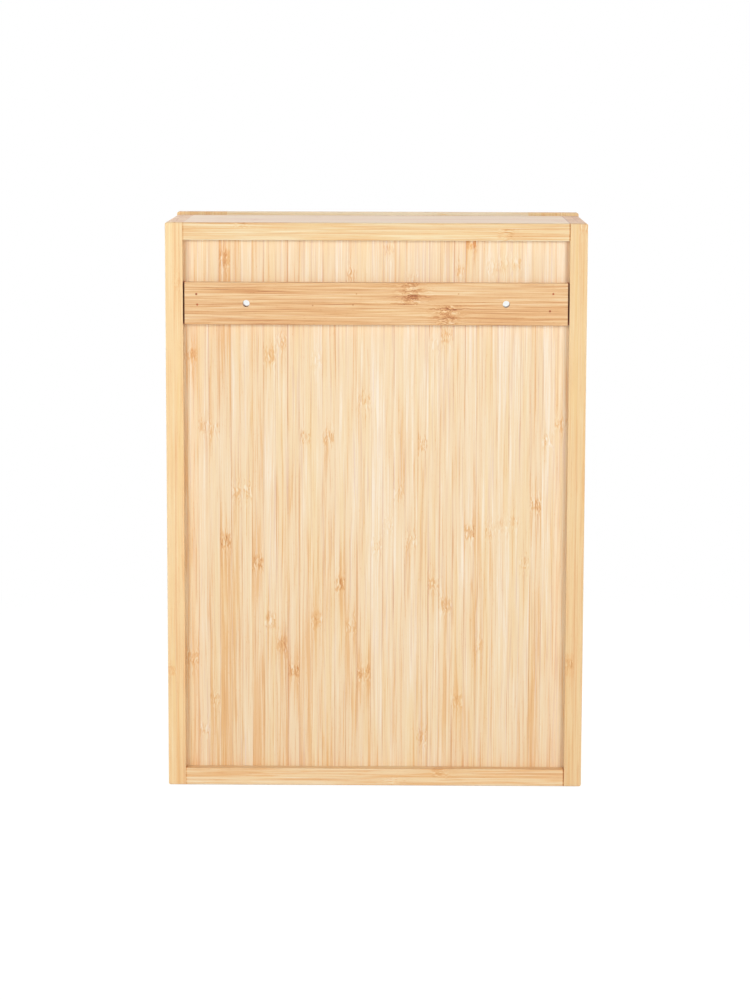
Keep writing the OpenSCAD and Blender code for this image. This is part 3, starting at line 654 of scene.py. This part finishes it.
def railStrip(bottom, top, ring, tone):
    return {"start": backHeight(railSeen[bottom]), "end": backHeight(railSeen[top]), "tone": tone,
            "rings": (backAside(railSeen[ring], railSeen["ringRow"]), ramps["noRing"]),
            "strong": (1.0, 0)}


railLook["strips"] = [railStrip("bottomRow", "seamRow", "lowerRing", -0.1),
                      railStrip("seamRow", "topRow", "upperRing", 0.2)]

# The other boards. backRings gives the rings that are seen on the back edge, one in each layer.
sideLook = dict(plain, drift=0.00012, level=0.61, straw=0.5, sheen=0.06, endDepth=0.22,
                stained=True)
levelLook = dict(plain, axes="yzx")
streakyLook = dict(levelLook, grain=0.55, length=0.010, wave=3, fineDepth=0.4, jointAt=165)
shelfLook = dict(levelLook, pitch=17)
stileLook = dict(plain, axes="xyz", pitch=15, glueAt=-145.8)
doorRailLook = dict(stileLook, axes="zyx")
uprightBead = dict(plain, axes="xyz", pitch=25, level=0.57)
crosswiseBead = dict(uprightBead, axes="zyx")
boardLooks = {
    "side_board_left": dict(
        sideLook, level=0.575, drift=0.00006, colours=deeper, seed=21, glueAt=-172.5,
        layerTones=(-0.4, 0.2), backRings={"rows": (228, 663), "strong": (0.4, 0.6)}),
    "side_board_right": dict(
        sideLook, seed=34, glueAt=172.5, layerTones=(0.1, 0.5),
        backRings={"rows": (283, 672), "strong": (0.2, 0.5)}),
    "top_board": dict(
        streakyLook, level=0.64, colours=deeper, seed=8, glueAt=64.3, layerTones=(0.2, -0.1),
        grainDepth=1.1, patchDepth=0.22, patchReach=60, topShade=0.08, sheen=0.10,
        backRings={"columns": (506, 241), "strong": (0.4, 0.45)}),
    "bottom_board": dict(
        streakyLook, level=0.535, drift=0.00018, colours=muted, seed=15, glueAt=-413.5,
        layerTones=(0.3, -1.0), grainDepth=0.9,
        backRings={"columns": (393, 440), "strong": (0.1, 0.5)}),
    "shelf_lower": dict(shelfLook, seed=41),
    "shelf_upper": dict(shelfLook, seed=44),
    "door_stile_hinge_side": dict(stileLook, seed=51),
    "door_stile_knob_side": dict(stileLook, seed=58),
    "door_rail_top": {**doorRailLook, "from": 3, "seed": 62, "paleEdge": (-139.0, 68.0)},
    "door_rail_bottom": dict(doorRailLook, seed=67),
    "glazing_bead_top": dict(crosswiseBead, seed=71),
    "glazing_bead_bottom": dict(crosswiseBead, seed=73),
    "glazing_bead_left": dict(uprightBead, seed=75),
    "glazing_bead_right": dict(uprightBead, seed=77),
    "carcass_dowels": dict(levelLook, seed=81, pitch=40, level=0.5),
    "back_panel": panelLook,
    "hanging_rail": railLook,
}


def dress(name, material):
    thing = nodes[name]
    if not thing.material_slots:
        thing.data.materials.append(material)
    for slot in thing.material_slots:
        slot.material = material


for name, look in boardLooks.items():
    dress(name, bamboo(name, look))
print("bamboo:", len(boardLooks), "boards")


# Metal with faint scratches and duller clouds. The rates are per millimetre.
metalLook = {
    "brush": (3, 0.25), "clouds": 0.12, "nicks": 1.4, "cloudEdge": (0.42, 0.66), "dull": 0.78,
    "cloudGloss": 0.16, "brushGloss": 0.14, "nickDepth": 0.3, "millimetres": 0.012,
}


def metal(name, colour, gloss, scratches, patina):
    f = Finish(name)
    x, y, z = f.split(f.objectPlace())
    aside, upwards = metalLook["brush"]
    brushed = f.noise(f.vector(x * aside, y * aside, z * upwards), detail=3)
    rate = metalLook["clouds"]
    clouds = f.noise(f.vector(x * rate, y * rate, z * rate), detail=4)
    rate = metalLook["nicks"]
    nicks = f.noise(f.vector(x * rate, y * rate, z * rate), detail=5, rough=0.7)
    dull = rgb(*[level * metalLook["dull"] for level in colour])
    f.surface({
        "Base Color": f.tint(f.step(clouds, *metalLook["cloudEdge"]) * patina, rgb(*colour), dull),
        "Metallic": 1.0,
        "Roughness": (gloss + (clouds - 0.5) * metalLook["cloudGloss"]
                      + (brushed - 0.5) * metalLook["brushGloss"]),
        "Normal": f.bump(brushed * scratches + nicks * metalLook["nickDepth"],
                         metalLook["millimetres"]),
    })
    return f.material


# Plastic, ferrite, pads and browned nails, with a pebbled face
mouldedLook = {"clouds": 0.2, "cloudEdge": (0.35, 0.7), "cloudGloss": 0.2, "pale": 1.2,
               "millimetres": 0.03}


def moulded(name, colour, gloss, pebbles):
    f = Finish(name)
    x, y, z = f.split(f.objectPlace())
    pebble = f.cells(f.vector(x * pebbles, y * pebbles, z * pebbles))
    rate = mouldedLook["clouds"]
    clouds = f.noise(f.vector(x * rate, y * rate, z * rate), detail=3)
    pale = rgb(*[level * mouldedLook["pale"] for level in colour])
    f.surface({
        "Base Color": f.tint(f.step(clouds, *mouldedLook["cloudEdge"]), rgb(*colour), pale),
        "Roughness": gloss + (clouds - 0.5) * mouldedLook["cloudGloss"],
        "Normal": f.bump(pebble, mouldedLook["millimetres"]),
        "Specular IOR Level": 0.45,
    })
    return f.material


# Glass that lets the lamps through, a little green along its edges
glassLook = {
    "face": (252, 255, 254), "rim": (150, 205, 185), "rimFrom": (0.9, 0.5),
    "smears": (0.012, 1, 0.02), "smearEdge": (0.5, 0.8), "smearGloss": 0.05,
    "shadow": (0.94, 0.96, 0.95, 1),
}


def clearGlass(name, look):
    f = Finish(name)
    spots = [place * rate for place, rate in zip(f.split(f.objectPlace()), look["smears"])]
    rim = f.step(abs(f.facing()["y"]), *look["rimFrom"])
    smear = f.step(f.noise(f.vector(*spots), detail=4), *look["smearEdge"])
    glass = f.add("ShaderNodeBsdfPrincipled", {}, {
        "Base Color": f.tint(rim, rgb(*look["face"]), rgb(*look["rim"])),
        "Roughness": smear * look["smearGloss"],
        "IOR": 1.5,
        "Transmission Weight": 1.0,
    })
    letThrough = f.add("ShaderNodeBsdfTransparent", {}, {"Color": look["shadow"]})
    shadowRay = f.add("ShaderNodeLightPath", out="Is Shadow Ray")
    f.show(f.add("ShaderNodeMixShader", {}, {0: shadowRay, 1: glass, 2: letThrough}))
    return f.material


finishes = {
    "nickel": metal("satinNickel", (184, 180, 174), gloss=0.30, scratches=1.0, patina=0.35),
    "steel": metal("zincSteel", (160, 158, 155), gloss=0.40, scratches=0.6, patina=0.5),
    "nails": moulded("brownedNail", (168, 92, 58), gloss=0.5, pebbles=5.0),
    "knobMetal": metal("brushedKnob", (200, 197, 192), gloss=0.24, scratches=0.8, patina=0.25),
    "plastic": moulded("darkPlastic", (52, 50, 48), gloss=0.5, pebbles=3.0),
    "magnet": moulded("ferrite", (44, 44, 47), gloss=0.62, pebbles=6.0),
    "pad": moulded("softPad", (206, 204, 198), gloss=0.6, pebbles=4.0),
    "glass": clearGlass("clearGlass", glassLook),
}
hardware = {
    "glass_pane": "glass", "rail_nails": "nails", "bead_nails": "nails", "shelf_pins": "nickel",
    "hinge_upper_carcass_leaf": "nickel", "hinge_upper_door_leaf": "nickel",
    "hinge_upper_pin": "nickel", "hinge_lower_carcass_leaf": "nickel",
    "hinge_lower_door_leaf": "nickel", "hinge_lower_pin": "nickel",
    "hinge_screws_carcass": "nickel", "hinge_screws_door": "nickel", "knob": "knobMetal",
    "knob_screw": "steel", "knob_washer": "steel", "catch_housing": "plastic",
    "catch_magnet": "magnet", "catch_pole_plates": "steel", "catch_screws": "nickel",
    "strike_plate": "nickel", "strike_screw": "nickel", "door_bumpers": "pad",
}
for name, finishName in hardware.items():
    dress(name, finishes[finishName])
print("hardware:", len(hardware), "nodes")


# A new piece in place of a CAD node, with its finish, its body and its material slot
def fitPiece(name, mesh):
    thing = bpy.data.objects.new(name + "Fine", mesh)
    bpy.context.scene.collection.objects.link(thing)
    mesh.materials.append(nodes[name].material_slots[0].material)
    weighted = thing.modifiers.new("evenShading", "WEIGHTED_NORMAL")
    weighted.keep_sharp = True
    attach(thing, body_of(nodes[name])[0])
    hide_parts(name)


# Smooth where the turn is gentle and sharp where it isn't, with the angle in degrees
def shade(bm, sharpFrom):
    for face in bm.faces:
        face.smooth = True
    for edge in bm.edges:
        edge.smooth = edge.is_manifold and edge.calc_face_angle() < math.radians(sharpFrom)


# How near points are merged, in metres, and from which angles faces count as flat or sharp
wearing = {"merge": 2e-6, "flat": 0.5, "sharpFrom": 32, "segments": 2}


# A merged copy of a node whose sharp edges are worn off by a small amount, in millimetres
def wornCopy(name, wear):
    bm = bmesh.new()
    bm.from_mesh(nodes[name].data)
    bmesh.ops.remove_doubles(bm, verts=bm.verts, dist=wearing["merge"])
    bmesh.ops.dissolve_limit(bm, angle_limit=math.radians(wearing["flat"]), verts=bm.verts,
                             edges=bm.edges)
    corners = [edge for edge in bm.edges if edge.is_manifold
               and edge.calc_face_angle() > math.radians(wearing["sharpFrom"])]
    bmesh.ops.bevel(bm, geom=corners, offset=wear / 1000, offset_type="OFFSET", affect="EDGES",
                    segments=wearing["segments"], profile=0.5, material=-1, clamp_overlap=True)
    shade(bm, wearing["sharpFrom"])
    mesh = bpy.data.meshes.new(name + "Fine")
    bm.to_mesh(mesh)
    bm.free()
    fitPiece(name, mesh)


worn = {  # the slot in the record and how much the edges are worn, in millimetres
    "hinge_upper_carcass_leaf": ("nickel", 0.15), "hinge_upper_door_leaf": ("nickel", 0.15),
    "hinge_lower_carcass_leaf": ("nickel", 0.15), "hinge_lower_door_leaf": ("nickel", 0.15),
    "hinge_upper_pin": ("nickel", 0.12), "hinge_lower_pin": ("nickel", 0.12),
    "hinge_screws_carcass": ("nickel", 0.05), "hinge_screws_door": ("nickel", 0.05),
    "strike_plate": ("nickel", 0.15), "strike_screw": ("nickel", 0.05),
    "catch_screws": ("nickel", 0.05), "shelf_pins": ("nickel", 0.1),
    "catch_housing": ("dark_plastic", 0.25), "catch_pole_plates": ("nail_steel", 0.08),
    "knob_washer": ("nail_steel", 0.1), "knob_screw": ("nail_steel", 0.08),
    "door_bumpers": ("soft_pad", 0.3),
}
for name, (slotName, wear) in worn.items():
    wornCopy(name, wear)
print("worn edges:", len(worn), "pieces")

# The knob is turned from one section, given by radii and distances from the door in millimetres
knobLook = {
    "centre": (157.5, -153.8, -173.5), "steps": 96, "sharpFrom": 60,
    "section": [
        (8.0, 0), (8.0, 1.7), (7.75, 2.2), (7.2, 2.5), (6.0, 2.6), (5.6, 2.9), (5.5, 3.5),  # foot
        (5.5, 11.2), (5.65, 12.0), (6.1, 12.7), (8.6, 14.0), (11.0, 15.2), (12.1, 15.9),  # neck
        (12.8, 16.9), (13.0, 17.9), (13.0, 20.9), (12.85, 21.5), (12.4, 22.0),  # rim
        (11.3, 22.35), (9.0, 22.95), (6.4, 23.46), (3.4, 23.82), (1.4, 23.94), (0, 23.96)],  # crown
}


def turnedKnob(look):
    x, y, z = look["centre"]
    bm = bmesh.new()
    points = [bm.verts.new(((x + radius) / 1000, (y - out) / 1000, z / 1000))
              for radius, out in look["section"]]
    lines = [bm.edges.new(pair) for pair in zip(points, points[1:])]
    bmesh.ops.spin(bm, geom=points + lines, cent=(x / 1000, y / 1000, z / 1000), axis=(0, 1, 0),
                   angle=2 * math.pi, steps=look["steps"], use_merge=True)
    bmesh.ops.remove_doubles(bm, verts=bm.verts, dist=wearing["merge"])
    bmesh.ops.recalc_face_normals(bm, faces=bm.faces)
    shade(bm, look["sharpFrom"])
    mesh = bpy.data.meshes.new("knobFine")
    bm.to_mesh(mesh)
    bm.free()
    fitPiece("knob", mesh)


turnedKnob(knobLook)
print("knob turned")

print("nodes left bare:", sorted(set(nodes) - set(hardware) - set(boardLooks)))
bpy.context.scene.view_settings.view_transform = "Standard"
